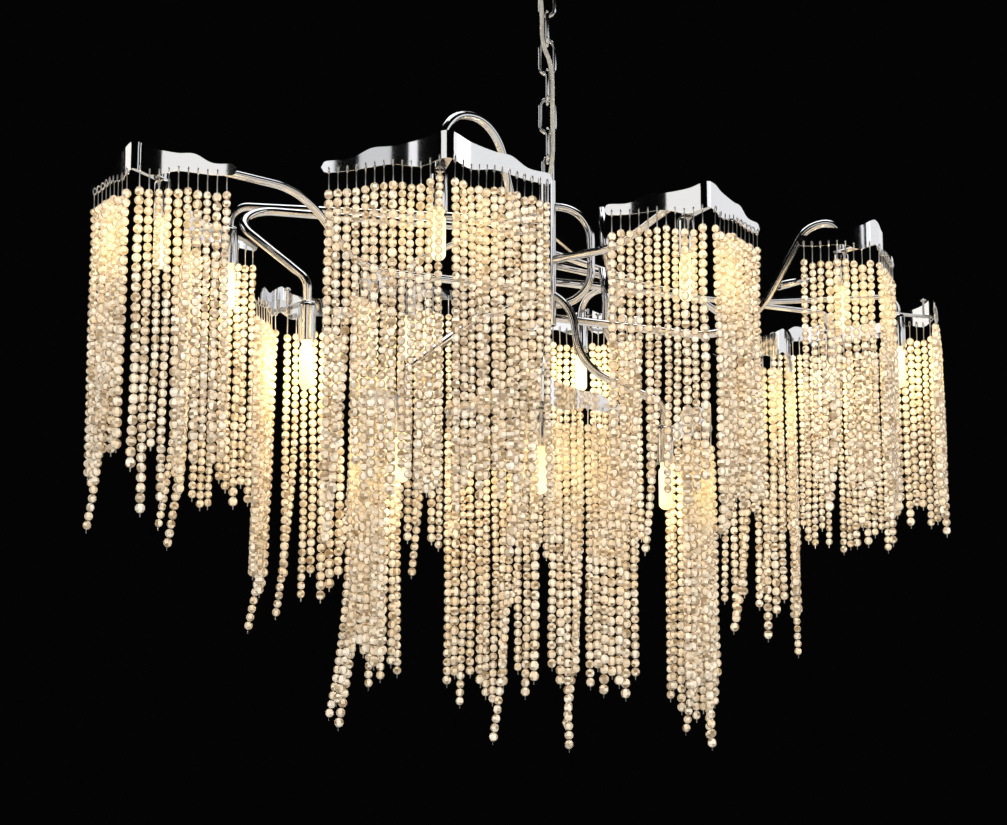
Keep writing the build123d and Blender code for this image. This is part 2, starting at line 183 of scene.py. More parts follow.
# zinc-plated pressed steel: dull grey with faint blue and yellow clouds
zincPlate, tree, shader = newMaterial("zincPlate", Metallic=1.0)
mottle(tree, shader, 11.111, 5.0, ("#8E949B", "#B5B2A6"), (0.28, 0.5))

# drawn steel wire, twisted by hand: dull grey with a few bright spots
steelWire, tree, shader = newMaterial("steelWire", Metallic=1.0, Roughness=0.32)
mottle(tree, shader, 2.0, colors=("#A6A6A9", "#ECECEE"))

# moulded polyamide of the terminal block: even white, slightly waxy
polyamide, tree, shader = newMaterial("polyamide", Roughness=0.45, IOR=1.53)
mottle(tree, shader, 2.5, colors=("#E2E0D8", "#EEECE6"))

# clear soft PVC sheath over silvered strands: milky grey that lets a paler core through
clearSheath, tree, shader = newMaterial("clearSheath", Roughness=0.22, IOR=1.53, Transmission_Weight=0.35)
mottle(tree, shader, 4.0, colors=("#8F8F8C", "#C4C3BE"))

# unglazed steatite of the lamp sockets: warm white with grey pores, drawn far coarser than real ones
steatite, tree, shader = newMaterial("steatite", Roughness=0.55, IOR=1.6)
mottle(tree, shader, 1.4286, 4.0, ("#D8D2C4", "#F0ECE2"))

# opal lamp glass, lit: glows nearly white in its middle and amber towards its ends
opalGlass, tree, shader = newMaterial("opalGlass", Base_Color=hexColor("#E8D2A8"), Roughness=0.3, IOR=1.52,
                                      Emission_Strength=1.0)
glass = addNode(tree, "ShaderNodeAttribute", attribute_name="glassHeight")
warm = addNode(tree, "ShaderNodeMix",
               {0: glass.outputs["Fac"], 6: hexColor("#FFC983"), 7: hexColor("#FFF1CF")}, data_type="RGBA")
tree.links.new(warm.outputs[2], shader.inputs["Emission Color"])

# machine-cut crystal glass: clear with a champagne cast; painted lamplight turns it pale gold, with a painted
# glow, where the lamp stands behind it
crystalSettings = {
    "roughness": 0.03,
    "clearness": 0.3,
    "facetFrom": 0.05,       # painted reflection, drawn by chance for each facet: dark under this, clear over the next
    "facetTo": 0.42,
    "rimFrom": 0.15,         # painted shade: the glass is drawn darker where its surface turns away from view
    "rimTo": 0.55,
    "paintedRimShare": 0.7,
    "paintedGoldShare": 0.6,
    "paintedGlowPower": 3.0,
    "glow": 0.6,             # painted glow: light that a bead beside the lamp seems to send on
}
cutCrystal, tree, shader = newMaterial(
    "cutCrystal", Roughness=crystalSettings["roughness"], IOR=1.54,
    Transmission_Weight=crystalSettings["clearness"], Emission_Color=hexColor("#FFE79E"))
glow = addNode(tree, "ShaderNodeAttribute", attribute_name="lampGlow")
shade = addNode(tree, "ShaderNodeAttribute", attribute_name="beadShade")
clear = addNode(tree, "ShaderNodeMix",
                {0: shade.outputs["Fac"], 6: hexColor("#F5E6CE"), 7: hexColor("#FFFBF3")}, data_type="RGBA")
# painted reflection: what is drawn by chance on each facet stands for what a real facet mirrors of a whole
# room, which isn't there
facet = addNode(tree, "ShaderNodeAttribute", attribute_name="facetTone")
bright = addNode(tree, "ShaderNodeMapRange",
                 {"Value": facet.outputs["Fac"], "From Min": crystalSettings["facetFrom"],
                  "From Max": crystalSettings["facetTo"]})
cut = addNode(tree, "ShaderNodeMix",
              {0: bright.outputs["Result"], 6: hexColor("#937F62"), 7: clear.outputs[2]}, data_type="RGBA")
# painted shade: the base colour is drawn darker on facets that turn away from view
edge = addNode(tree, "ShaderNodeLayerWeight", {"Blend": 0.5})
rim = addNode(tree, "ShaderNodeMapRange",
              {"Value": edge.outputs["Facing"], "From Min": crystalSettings["rimFrom"],
               "From Max": crystalSettings["rimTo"], "To Max": crystalSettings["paintedRimShare"]})
rounded = addNode(tree, "ShaderNodeMix",
                  {0: rim.outputs["Result"], 6: cut.outputs[2], 7: hexColor("#86725A")}, data_type="RGBA")
# painted lamplight: the base colour turns pale gold near the lamp
part = addNode(tree, "ShaderNodeMath", {0: glow.outputs["Fac"], 1: crystalSettings["paintedGoldShare"]},
               operation="MULTIPLY")
paintedGold = addNode(tree, "ShaderNodeMix",
                 {0: part.outputs[0], 6: rounded.outputs[2], 7: hexColor("#FFEDC0")}, data_type="RGBA")
tree.links.new(paintedGold.outputs[2], shader.inputs["Base Color"])
# painted glow: beads near the lamp emit light, though they are no lamp
peak = addNode(tree, "ShaderNodeMath", {0: glow.outputs["Fac"], 1: crystalSettings["paintedGlowPower"]},
               operation="POWER")
power = addNode(tree, "ShaderNodeMath", {0: peak.outputs[0], 1: crystalSettings["glow"]},
                operation="MULTIPLY")
tree.links.new(power.outputs[0], shader.inputs["Emission Strength"])

# matt floor paint
floorPaint, tree, shader = newMaterial("floorPaint", Base_Color=hexColor("#B4B3AE"), Roughness=0.8)


def endTree(tree, geometry, given):
    real = addNode(tree, "GeometryNodeRealizeInstances", {"Geometry": geometry})
    painted = addNode(tree, "GeometryNodeSetMaterial",
                      {"Geometry": real.outputs["Geometry"], "Material": given.outputs["Material"]})
    addNode(tree, "NodeGroupOutput", {"Geometry": painted.outputs["Geometry"]})


# a wire or tube along lines of points
followLine = newTree("followLine", [
    ("Radius", "NodeSocketFloat", 0.005), ("Sides", "NodeSocketInt", 12),
    ("Closed ends", "NodeSocketBool", True), ("Material", "NodeSocketMaterial", None)])
given = addNode(followLine, "NodeGroupInput")
line = addNode(followLine, "GeometryNodeMeshToCurve", {"Mesh": given.outputs["Geometry"]})
ring = addNode(followLine, "GeometryNodeCurvePrimitiveCircle",
               {"Resolution": given.outputs["Sides"], "Radius": given.outputs["Radius"]})
skin = addNode(followLine, "GeometryNodeCurveToMesh",
               {"Curve": line.outputs["Curve"], "Profile Curve": ring.outputs["Curve"],
                "Fill Caps": given.outputs["Closed ends"]})
endTree(followLine, skin.outputs["Mesh"], given)

# faceted beads on points, each turned by chance and told how near the lamp it is, for the painted lamplight
beadTilt = 0.15              # radians that a bead may sit askew on its wire
threadBeads = newTree("threadBeads", [
    ("Facets round", "NodeSocketInt", 7), ("Facet rows", "NodeSocketInt", 5),
    ("Lamp", "NodeSocketVector", None), ("Glow core", "NodeSocketFloat", 0.02),
    ("Glow reach", "NodeSocketFloat", 0.09), ("Seed", "NodeSocketInt", 1),
    ("Material", "NodeSocketMaterial", None)])
given = addNode(threadBeads, "NodeGroupInput")
bead = addNode(threadBeads, "GeometryNodeMeshUVSphere",
               {"Segments": given.outputs["Facets round"], "Rings": given.outputs["Facet rows"],
                "Radius": 0.5})
size = addNode(threadBeads, "GeometryNodeInputNamedAttribute", {"Name": "beadSize"}, data_type="FLOAT")
spin = addNode(threadBeads, "FunctionNodeRandomValue",
               {"Min": (-beadTilt, -beadTilt, 0.0), "Max": (beadTilt, beadTilt, fullTurn),
                "Seed": given.outputs["Seed"]}, data_type="FLOAT_VECTOR")
strung = addNode(threadBeads, "GeometryNodeInstanceOnPoints",
                 {"Points": given.outputs["Geometry"], "Instance": bead.outputs["Mesh"],
                  "Rotation": spin.outputs[0], "Scale": size.outputs["Attribute"]})
chance = addNode(threadBeads, "FunctionNodeRandomValue", {"Seed": given.outputs["Seed"]}, data_type="FLOAT")
shaded = addNode(threadBeads, "GeometryNodeStoreNamedAttribute",
                 {"Geometry": strung.outputs["Instances"], "Name": "beadShade", "Value": chance.outputs[1]},
                 data_type="FLOAT", domain="INSTANCE")
# nearness to the lamp, which drives the painted lamplight and painted glow on the beads
spot = addNode(threadBeads, "GeometryNodeInputPosition")
away = addNode(threadBeads, "ShaderNodeVectorMath", {0: spot.outputs[0], 1: given.outputs["Lamp"]},
               operation="DISTANCE")
near = addNode(threadBeads, "ShaderNodeMapRange",
               {"Value": away.outputs["Value"], "From Min": given.outputs["Glow core"],
                "From Max": given.outputs["Glow reach"], "To Min": 1.0, "To Max": 0.0},
               interpolation_type="SMOOTHSTEP")
lit = addNode(threadBeads, "GeometryNodeStoreNamedAttribute",
              {"Geometry": shaded.outputs["Geometry"], "Name": "lampGlow", "Value": near.outputs["Result"]},
              data_type="FLOAT", domain="INSTANCE")
# real meshes from here, so that each facet has a painted reflection of its own
real = addNode(threadBeads, "GeometryNodeRealizeInstances", {"Geometry": lit.outputs["Geometry"]})
reflectionDraw = addNode(threadBeads, "FunctionNodeRandomValue", {"Seed": given.outputs["Seed"]}, data_type="FLOAT")
reflectionStored = addNode(threadBeads, "GeometryNodeStoreNamedAttribute",
                {"Geometry": real.outputs["Geometry"], "Name": "facetTone", "Value": reflectionDraw.outputs[1]},
                data_type="FLOAT", domain="FACE")
facets = addNode(threadBeads, "GeometryNodeSetShadeSmooth",
                 {"Geometry": reflectionStored.outputs["Geometry"], "Shade Smooth": False})
endTree(threadBeads, facets.outputs["Geometry"], given)

# round holes through a strip or plate, at points whose normals tell which way each hole goes
punchHoles = newTree("punchHoles", [
    ("Punches", "NodeSocketObject", None), ("Hole radius", "NodeSocketFloat", 0.0011),
    ("Pin length", "NodeSocketFloat", 0.008), ("Sides", "NodeSocketInt", 10),
    ("Material", "NodeSocketMaterial", None)])
given = addNode(punchHoles, "NodeGroupInput")
marks = addNode(punchHoles, "GeometryNodeObjectInfo", {"Object": given.outputs["Punches"]})
facing = addNode(punchHoles, "GeometryNodeInputNamedAttribute", {"Name": "facing"}, data_type="FLOAT_VECTOR")
aim = addNode(punchHoles, "FunctionNodeAlignRotationToVector", {"Vector": facing.outputs["Attribute"]},
              axis="Z")
pin = addNode(punchHoles, "GeometryNodeMeshCylinder",
              {"Vertices": given.outputs["Sides"], "Radius": given.outputs["Hole radius"],
               "Depth": given.outputs["Pin length"]})
pins = addNode(punchHoles, "GeometryNodeInstanceOnPoints",
               {"Points": marks.outputs["Geometry"], "Instance": pin.outputs["Mesh"],
                "Rotation": aim.outputs["Rotation"]})
solidPins = addNode(punchHoles, "GeometryNodeRealizeInstances", {"Geometry": pins.outputs["Instances"]})
cut = addNode(punchHoles, "GeometryNodeMeshBoolean",
              {"Mesh 1": given.outputs["Geometry"], "Mesh 2": solidPins.outputs["Geometry"]},
              operation="DIFFERENCE")
endTree(punchHoles, cut.outputs["Mesh"], given)

# heights from the ceiling down
levels = {
    "canopyFoot": -42.0,
    "collarFoot": -54.0,
    "ceilingBar": -82.5,
    "topLinkTop": -77.2,
    "linkStep": 37.7,
    "stemBar": -303.4,
    "stemTop": -332.0,
    "stemFoot": -514.0,
}
linkTurn = -43.0         # the links stand on axes turned this far from X and Y


def onLinks(across, away, height):
    turn = radians(linkTurn)
    return Vector((across * cos(turn) - away * sin(turn), across * sin(turn) + away * cos(turn), height)) * mm


print("cord")
cordSettings = {
    "diameter": 5.5,
    "length": 327.1,
    # across, away and height on the links' axes, as the cord is led beside and through them
    "route": [(-12.5, -12.5, -38), (-12.2, -12.0, -66), (-6.3, -6.3, -112), (-6.4, -6.3, -160),
              (6.2, -7.0, -186), (6.0, -6.0, -245), (6.6, -6.5, -304), (1.2, -5.0, -336), (0.6, -4.8, -362)],
}

cordLine = bpy.data.curves.new("powerCord", "CURVE")
cordLine.dimensions = "3D"
cordLine.bevel_depth = cordSettings["diameter"] / 2 * mm
cordLine.bevel_resolution = 5
cordLine.use_fill_caps = True
spline = cordLine.splines.new("NURBS")
spline.points.add(len(cordSettings["route"]) - 1)
for point, stop in zip(spline.points, cordSettings["route"]):
    point.co = (*onLinks(*stop), 1)
spline.order_u = 3
spline.use_endpoint_u = True
spline.resolution_u = 10
cordPiece = bpy.data.objects.new("powerCord", cordLine)
bpy.context.scene.collection.objects.link(cordPiece)
cordLine.materials.append(clearSheath)
place(cordPiece, "fixture", "clear_cord", "power_cord")


def roundBends(corners, limits, steps=12):
    # the line through the corners, each corner on an arc as large as its two runs allow, up to its limit
    shared, whole = 0.48, 0.96       # an arc may take this much of a run, half each between two arcs
    corners = [Vector(c) for c in corners]
    line = [corners[0]]
    for i, limit in enumerate(limits):
        before, corner, after = corners[i:i + 3]
        back = before - corner
        ahead = after - corner
        halfTurn = (pi - back.angle(ahead)) / 2
        room = min(back.length * (whole if i == 0 else shared),
                   ahead.length * (whole if i == len(corners) - 3 else shared))
        radius = min(limit, room / tan(halfTurn))
        middle = (back.normalized() + ahead.normalized()).normalized()
        side = (ahead.normalized() - back.normalized()).normalized()
        pivot = corner + middle * radius / cos(halfTurn)
        for step in range(steps + 1):
            swing = halfTurn * (2 * step / steps - 1)
            line.append(pivot + (side * sin(swing) - middle * cos(swing)) * radius)
    line.append(corners[-1])
    return line


def linesObject(name, lines, closed=False):
    points = []
    edges = []
    for line in lines:
        first = len(points)
        points += line
        edges += [(first + i, first + i + 1) for i in range(len(line) - 1)]
        if closed:
            edges.append((len(points) - 1, first))
    return newObject(name, points, edges, [])


def wire(name, lines, radius, sides, material, closed=False, ends=True):
    piece = linesObject(name, lines, closed)
    runTree(piece, followLine,
            {"Radius": radius * mm, "Sides": sides, "Closed ends": ends, "Material": material})
    return smooth(outward(piece), angle=50)


def turned(name, profile, places, material, segments=32, angle=35):
    # a lathe form at each place; profile is radius and height from its foot round to where it closes
    points = []
    faces = []
    for spot in places:
        rings = []
        for radius, height in profile:
            if radius == 0:
                rings.append([len(points)])
                points.append(Vector((spot[0], spot[1], spot[2] + height)) * mm)
                continue
            rings.append(range(len(points), len(points) + segments))
            for i in range(segments):
                swing = 2 * pi * i / segments
                points.append(Vector((spot[0] + radius * cos(swing), spot[1] + radius * sin(swing),
                                      spot[2] + height)) * mm)
        loop = list(zip(rings, rings[1:]))
        if len(rings[0]) > 1:
            loop.append((rings[-1], rings[0]))
        for low, high in loop:
            for i in range(segments):
                j = (i + 1) % segments
                face = [low[i % len(low)], low[j % len(low)], high[j % len(high)], high[i % len(high)]]
                faces.append([v for k, v in enumerate(face) if v != face[k - 1]])
    piece = newObject(name, points, [], faces)
    piece.data.materials.append(material)
    return smooth(outward(piece), angle)


def punch(piece, marks, directions, radius, sides, material):
    punches = newObject("punches", marks, [], [])
    facing = punches.data.attributes.new("facing", "FLOAT_VECTOR", "POINT")
    facing.data.foreach_set("vector", [v for d in directions for v in d])
    runTree(piece, punchHoles,
            {"Punches": punches, "Hole radius": radius * mm, "Sides": sides, "Material": material})
    bpy.data.objects.remove(punches)
    return outward(piece)


print("ceiling fitting")
# these keep their CAD form
for node, material in (("ceiling_bracket", zincPlate), ("bracket_fasteners", zincPlate),
                       ("terminal_block", polyamide), ("shade_straps", chromePlate)):
    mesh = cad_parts[node].data
    mesh.materials.clear()
    mesh.materials.append(material)

canopySettings = {
    "radius": 60.0,
    "top": -0.3,             # a hair below the ceiling
    "wall": 1.2,
    "corner": 9.0,
    "cornerSteps": 8,
    "boreRadius": 5.1,
    "segments": 64,
    "cordHole": 7.0,
    "cordHoleSides": 28,
}


def canopyProfile(inset):
    # outline of the cup from its bore to its open edge, this far inside its outer face
    radius = canopySettings["radius"] - inset
    foot = levels["canopyFoot"] + inset
    corner = canopySettings["corner"] - inset
    line = [(canopySettings["boreRadius"], foot), (radius - corner, foot)]
    for step in range(1, canopySettings["cornerSteps"] + 1):
        swing = pi / 2 * step / canopySettings["cornerSteps"]
        line.append((radius - corner + corner * sin(swing), foot + corner - corner * cos(swing)))
    return line + [(radius, canopySettings["top"])]


canopy = turned("ceilingCanopy", canopyProfile(0) + canopyProfile(canopySettings["wall"])[::-1],
                [(0, 0, 0)], chromePlate, canopySettings["segments"])
across, away, _ = cordSettings["route"][0]
holeMark = onLinks(across, away, levels["canopyFoot"] + canopySettings["wall"] / 2)
punch(canopy, [holeMark], [(0, 0, 1)], canopySettings["cordHole"], canopySettings["cordHoleSides"],
      chromePlate)
smooth(canopy)
place(canopy, "root", "chrome_steel", "ceiling_canopy")

rodSettings = {"wire": 2.5, "sides": 16, "steps": 20, "ceilingHalf": 8.5, "stemHalf": 5.6,
               "stemLegDepth": 16.0}


def uLine(half, bar, foot, turn):
    # U on the links' axes, from its round bar to the ends of its legs
    rise = half if bar > foot else -half
    steps = rodSettings["steps"]
    bend = [(half * cos(pi * i / steps), bar - rise + rise * sin(pi * i / steps)) for i in range(steps + 1)]
    points = [(half, foot)] + bend + [(-half, foot)]
    if turn:
        return [onLinks(0, x, z) for x, z in points]
    return [onLinks(x, 0, z) for x, z in points]


ceilingU = uLine(rodSettings["ceilingHalf"], levels["ceilingBar"], levels["collarFoot"] + 1, True)
ceilingBow = wire("ceilingBow", [ceilingU], rodSettings["wire"], rodSettings["sides"], chromePlate)
place(ceilingBow, "root", "chrome_steel", "ceiling_loop")

collarSettings = {
    "segments": 40,
    # radius and height over its foot, up to where it meets the canopy
    "profile": [(3.4, 0), (10.0, 0), (11, 1), (11, 3.5), (10.4, 4), (10.4, 8), (11, 8.5), (11, 11),
                (10, 11.9), (3.4, 11.9)],
}
collar = turned("loopCollar", collarSettings["profile"], [(0, 0, levels["collarFoot"])], chromePlate,
                collarSettings["segments"])
place(collar, "root", "chrome_steel")


print("chain")
linkSettings = {"length": 48.0, "width": 23.0, "wire": 2.5, "below": 5, "segments": 14, "sides": 14}


def linkLine(top, edgeOn):
    bend = linkSettings["width"] / 2 - linkSettings["wire"]
    half = linkSettings["length"] / 2 - linkSettings["wire"] - bend
    middle = top - half - bend
    line = []
    for end in (1, -1):
        for step in range(linkSettings["segments"] + 1):
            swing = pi * step / linkSettings["segments"]
            across = end * bend * cos(swing)
            height = middle + end * (half + bend * sin(swing))
            line.append(onLinks(0, across, height) if edgeOn else onLinks(across, 0, height))
    return line


topLink = wire("topLink", [linkLine(levels["topLinkTop"], False)], linkSettings["wire"],
               linkSettings["sides"], chromePlate, closed=True)
place(topLink, "first_link", "chrome_steel", "top_link")
tops = [levels["topLinkTop"] - (i + 1) * levels["linkStep"] for i in range(linkSettings["below"])]
chain = wire("suspensionChain", [linkLine(top, i % 2 == 0) for i, top in enumerate(tops)],
             linkSettings["wire"], linkSettings["sides"], chromePlate, closed=True)
place(chain, "fixture", "chrome_steel", "suspension_chain")


print("stem")
stemSettings = {"radius": 10.0, "bore": 8.6, "rim": 0.8, "segments": 48}


def stemProfile():
    radius, bore, rim = (stemSettings[key] for key in ("radius", "bore", "rim"))
    top = levels["stemTop"]
    foot = levels["stemFoot"]
    return [(radius - rim, foot), (radius, foot + rim), (radius, top - rim), (radius - rim, top),
            (bore, top), (bore, foot)]


stem = turned("stemTube", stemProfile(), [(0, 0, 0)], chromePlate, stemSettings["segments"])
place(stem, "fixture", "chrome_steel", "stem_tube")
legFoot = levels["stemTop"] - rodSettings["stemLegDepth"]
stemU = uLine(rodSettings["stemHalf"], levels["stemBar"], legFoot, False)
stemBow = wire("stemBow", [stemU], rodSettings["wire"], rodSettings["sides"], chromePlate)
place(stemBow, "fixture", "chrome_steel", "stem_loop")


# apex x and y, base line below the stem's rim, direction the V opens in, half angle, left and right wing
shadeColumns = ("x", "y", "below", "opens", "half", "left", "right")
shadeRows = {
    "a": (-563, 64, 90, 21, 60, 104, 112),
    "b": (-359, 251, 90, 295, 58, 98, 98),
    "c": (-310, 132, 199, 267, 50, 84, 95),
    "d": (-330, -188, 86, 58, 64, 142, 140),
    "e": (-283, 30, 309, 312, 56, 95, 95),
    "f": (-103, -97, 308, 49, 60, 128, 128),
    "g": (127, -153, 319, 142, 56, 95, 95),
    "h": (9, -259, 90, 72, 58, 121, 118),
    "i": (358, 291, 92, 217, 58, 100, 100),
    "j": (365, -69, 176, 87, 50, 95, 84),
    "k": (282, -283, 90, 87, 60, 100, 98),
    "l": (653, 91, 96, 217, 60, 98, 98),
    "m": (603, -131, 108, 157, 58, 95, 95),
    "n": (0, 320, 90, 270, 58, 110, 110),
}
shades = {name: dict(zip(shadeColumns, row)) for name, row in shadeRows.items()}
sideNames = {1: "left", -1: "right"}

ribbonSettings = {
    "thick": 1.3,
    "apexBend": 26.0,
    "masterReach": 109.0,    # the wing length that the wave was drawn on
    # place along the wing, lower edge and upper edge over the base line
    "wave": [(0, 7.2, 37.8), (23, -1.2, 28.6), (48, 3.6, 23.8), (66, 2.5, 23.6), (84, 0.6, 14.2),
             (102, 0, 13.2), (140, 0, 13.2)],
    "endRadius": 6.6,
    "endBlunt": 0.2,         # square millimetres that keep the rounded end from closing to a line
    "bow": 1.1,              # how far the strip's plan strays from straight, which breaks its reflections
    "stations": 46,
    "rows": 6,
    "holeRadius": 1.15,
    "holeSides": 10,
    "holeOverHook": 5.0,
}
lampSettings = {"fromApex": 60.0, "strapLevel": 8.0, "glowLevel": -68.0}


def shadePoint(name, x, y, height):
    shade = shades[name]
    turn = radians(shade["opens"])
    return Vector((shade["x"] + x * cos(turn) - y * sin(turn), shade["y"] + x * sin(turn) + y * cos(turn),
                   levels["stemTop"] - shade["below"] + height))


def through(keys, at, column):
    # smooth curve through the drawn points
    i = max(k for k in range(len(keys) - 1) if keys[k][0] <= at or k == 0)
    before, a, b = keys[max(i - 1, 0)], keys[i], keys[i + 1]
    after = keys[min(i + 2, len(keys) - 1)]
    t = (at - a[0]) / (b[0] - a[0])
    slopeA = (b[column] - before[column]) / (b[0] - before[0]) * (b[0] - a[0])
    slopeB = (after[column] - a[column]) / (after[0] - a[0]) * (b[0] - a[0])
    if i == 0:
        slopeA = 0
    return ((2 * t ** 3 - 3 * t ** 2 + 1) * a[column] + (t ** 3 - 2 * t ** 2 + t) * slopeA
            + (3 * t ** 2 - 2 * t ** 3) * b[column] + (t ** 3 - t ** 2) * slopeB)


def wingPlan(name, side, along):
    # point in the shade's own plan, round the bend at the apex and then out along the wing
    half = radians(shades[name]["half"])
    bend = ribbonSettings["apexBend"]
    centre = bend / sin(half)
    arc = bend * (pi / 2 - half)
    if along < arc:
        swing = along / bend
        return Vector((centre, 0)) + Vector((-cos(swing), side * sin(swing))) * bend
    out = Vector((-sin(half), side * cos(half)))
    heading = Vector((cos(half), side * sin(half)))
    reach = shades[name][sideNames[side]]
    bow = ribbonSettings["bow"] * sin(2 * pi * (along - arc) / (reach - arc))
    return Vector((centre, 0)) + out * (bend + bow) + heading * (along - arc)


def wingOut(name, side):
    # the way that a wing's straight part faces, away from its lamp
    half = radians(shades[name]["half"])
    turn = radians(shades[name]["opens"])
    out = Vector((-sin(half), side * cos(half)))
    return Vector((out.x * cos(turn) - out.y * sin(turn), out.x * sin(turn) + out.y * cos(turn), 0))


def ribbonEdges(name, side, along, plan):
    reach = shades[name][sideNames[side]]
    half = radians(shades[name]["half"])
    at = (plan.x * cos(half) + side * plan.y * sin(half)) * ribbonSettings["masterReach"] / reach
    low = through(ribbonSettings["wave"], at, 1)
    high = through(ribbonSettings["wave"], at, 2)
    radius = ribbonSettings["endRadius"]
    past = along - (reach - radius)
    if past > 0:
        trim = radius - sqrt(max(radius ** 2 - past ** 2, ribbonSettings["endBlunt"]))
        low, high = low + trim, high - trim
    return low, high


def strandEnds(node):
    # hook point and pin tip of each strand in a curtain, in the order that they stand along the wing
    work = bmesh.new()
    work.from_mesh(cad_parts[node].data)
    bmesh.ops.remove_doubles(work, verts=work.verts, dist=weld)
    left = set(work.verts)
    ends = []
    while left:
        island = [left.pop()]
        for vertex in island:
            for edge in vertex.link_edges:
                other = edge.other_vert(vertex)
                if other in left:
                    left.remove(other)
                    island.append(other)
        hook = max(island, key=lambda v: v.co.z)
        tip = min(island, key=lambda v: v.co.z)
        ends.append((hook.co.copy(), tip.co.copy()))
    work.free()
    return sorted(ends, key=lambda e: (round(e[0].x, 5), round(e[0].y, 5)))


print("ribbons")
strandsOf = {}
for name in shades:
    rows = ribbonSettings["rows"]
    count = ribbonSettings["stations"]
    points = []
    stations = [(1, 1 - i / count) for i in range(count)] + [(-1, i / count) for i in range(count + 1)]
    for side, share in stations:
        along = share * shades[name][sideNames[side]]
        plan = wingPlan(name, side, along)
        low, high = ribbonEdges(name, side, along, plan)
        for row in range(rows + 1):
            points.append(shadePoint(name, plan.x, plan.y, low + (high - low) * row / rows) * mm)
    faces = []
    for i in range(len(stations) - 1):
        for row in range(rows):
            a = i * (rows + 1) + row
            faces.append((a, a + 1, a + rows + 2, a + rows + 1))
    ribbon = newObject("ribbon_" + name + "_strip", points, [], faces)
    solid = ribbon.modifiers.new("thickness", "SOLIDIFY")
    solid.thickness = ribbonSettings["thick"] * mm
    solid.offset = 0
    marks = []
    directions = []
    for side, sideName in sideNames.items():
        ends = strandEnds("strands_" + name + "_" + sideName)
        strandsOf[name, side] = ends
        for hook, _ in ends:
            marks.append(hook + Vector((0, 0, ribbonSettings["holeOverHook"] * mm)))
            directions.append(wingOut(name, side))
    punch(ribbon, marks, directions, ribbonSettings["holeRadius"], ribbonSettings["holeSides"], polishedSteel)
    smooth(ribbon, angle=30)
    place(ribbon, "fixture", "polished_steel", "ribbon_" + name)


print("crystal curtains")
beadSettings = {
    "sizes": (8.8, 9.4, 10.0, 10.6),  # one size for each strand, a little larger towards its foot
    "growth": 0.1,
    "spacing": 0.99,                 # beads overlap by a hundredth, so no gap shows between them
    "firstSeed": 11,
    "stagger": 1.2,                  # strands stand by turns this far in front of and behind the row
    "cornerReach": 50.0,             # strands this near the bend never lean towards the other wing
    "cornerGap": 2.2,
    "cornerLean": 0.8,
    "hookDrop": 17.0,
    "hookSpread": (-1.5, 3.0),       # how unevenly the first beads start below the hooks
    "pin": 4.0,
    "sway": 2.5,                     # how far a common strand strays at its foot
    "wobble": 0.7,
    "wobbleTurns": 9,                # radians of wobble over the strand
    "wobbleSetsIn": 4,               # full after a quarter of the strand
    "rowSetsIn": 9,                  # in its row after a ninth of the strand
    "longerBy": 20.0,                # a strand this much over the usual length is a long tail
    "tailLean": 26.0,                # how far the longest ones lean
    "leanShare": (0.6, 1.0),
    "paintedGlowReach": 95.0,
}
hookSettings = {"radius": 0.65, "sides": 4, "loopHigh": 4.1, "loopWide": 1.9, "loopSteps": 9, "loopDrop": 1.6,
                "twist": 0.5, "wireSteps": 6}
draught = Vector((-0.731, 0.682, 0))     # the way that the long tails lean


def strandPoint(strand, height):
    # beads leave the row at the hook, wave a little and stray more and more towards the foot
    share = max((strand["top"] - height) / (strand["top"] - strand["foot"]), 0)
    curl = strand["curl"]
    waving = min(share * beadSettings["wobbleSetsIn"], 1)
    inRow = min(share * beadSettings["rowSetsIn"], 1)
    wobble = beadSettings["wobble"] * sin(beadSettings["wobbleTurns"] * share + curl) * waving
    spot = strand["hook"] / mm + strand["standOff"] * inRow + strand["stray"] * share ** 3
    spot += Vector((wobble, wobble * cos(curl), 0))
    return Vector((spot.x, spot.y, height)) * mm


def beadColumn(strand):
    # centres and sizes of a strand's beads, and the height under the last one
    centres = []
    sizes = []
    height = strand["top"]
    while True:
        share = (strand["top"] - height) / (strand["top"] - strand["foot"])
        size = strand["size"] * (1 + beadSettings["growth"] * share)
        if height - size < strand["foot"]:
            return centres, sizes, height
        centres.append(strandPoint(strand, height - size / 2))
        sizes.append(size * mm)
        height -= size * beadSettings["spacing"]


def hookLine(strand, out, lastHeight):
    # a loop through the ribbon's hole, then down inside the beads to the pin's tip
    loopFoot = strand["hook"] - Vector((0, 0, hookSettings["loopDrop"] * mm))
    line = []
    for step in range(hookSettings["loopSteps"]):
        swing = -pi / 2 + 2 * pi * step / hookSettings["loopSteps"]
        line.append(loopFoot + out * hookSettings["loopWide"] * cos(swing) * mm
                    + Vector((0, 0, hookSettings["loopHigh"] * (1 + sin(swing)) * mm)))
    line.append(loopFoot + out * hookSettings["twist"] * mm)
    drop = strand["top"] - lastHeight
    steps = hookSettings["wireSteps"]
    line += [strandPoint(strand, strand["top"] - drop * i / steps) for i in range(steps + 1)]
    line.append(strandPoint(strand, lastHeight) - Vector((0, 0, beadSettings["pin"] * mm)))
    return line


